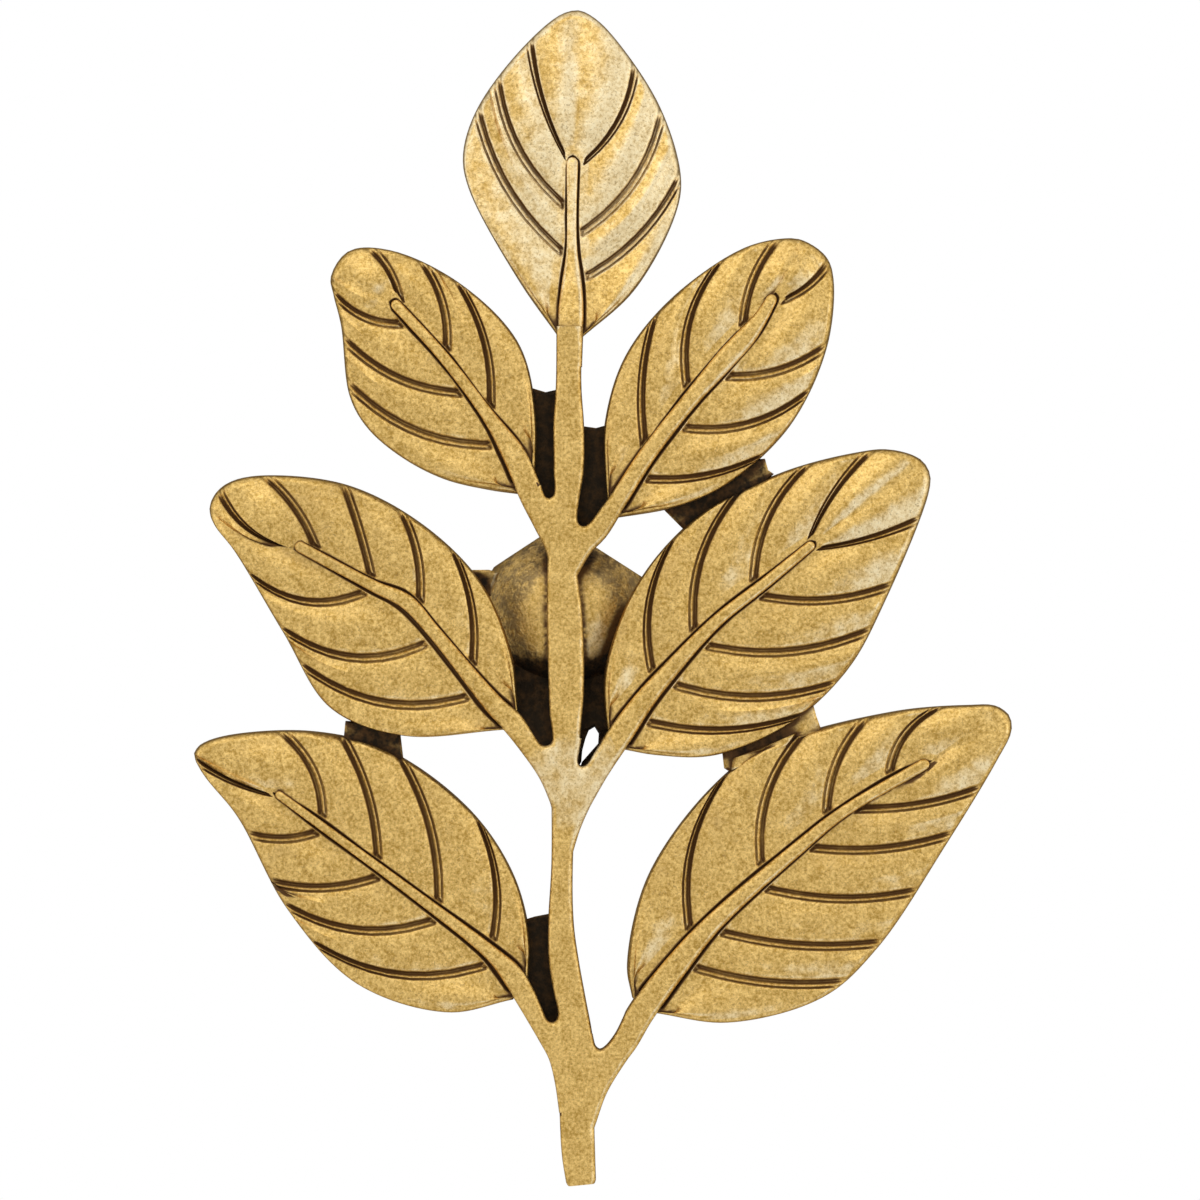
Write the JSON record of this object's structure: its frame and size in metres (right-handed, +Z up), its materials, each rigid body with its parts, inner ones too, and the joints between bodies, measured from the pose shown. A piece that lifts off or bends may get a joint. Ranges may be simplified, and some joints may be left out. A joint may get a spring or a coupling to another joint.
{
  "type": "leaf sprig cabinet knob",
  "caption": "Cast metal cabinet knob in the form of an upright leafy sprig with a round post behind it, fixed by one screw from inside the door.",
  "frame": {"origin": "centre of the screw hole at the post's flat face, which seats on the door", "axes": "+Z up along the sprig, +Y along the screw hole's axis into the door, +X to the right seen from in front"},
  "size_m": [0.064, 0.025, 0.0918],
  "materials": {
    "antique_brass": "satin antique brass with dark patina in the grooves and recesses"
  },
  "bodies": {
    "root": {"leaf_sprig": "antique_brass"}
  },
  "joints": []
}
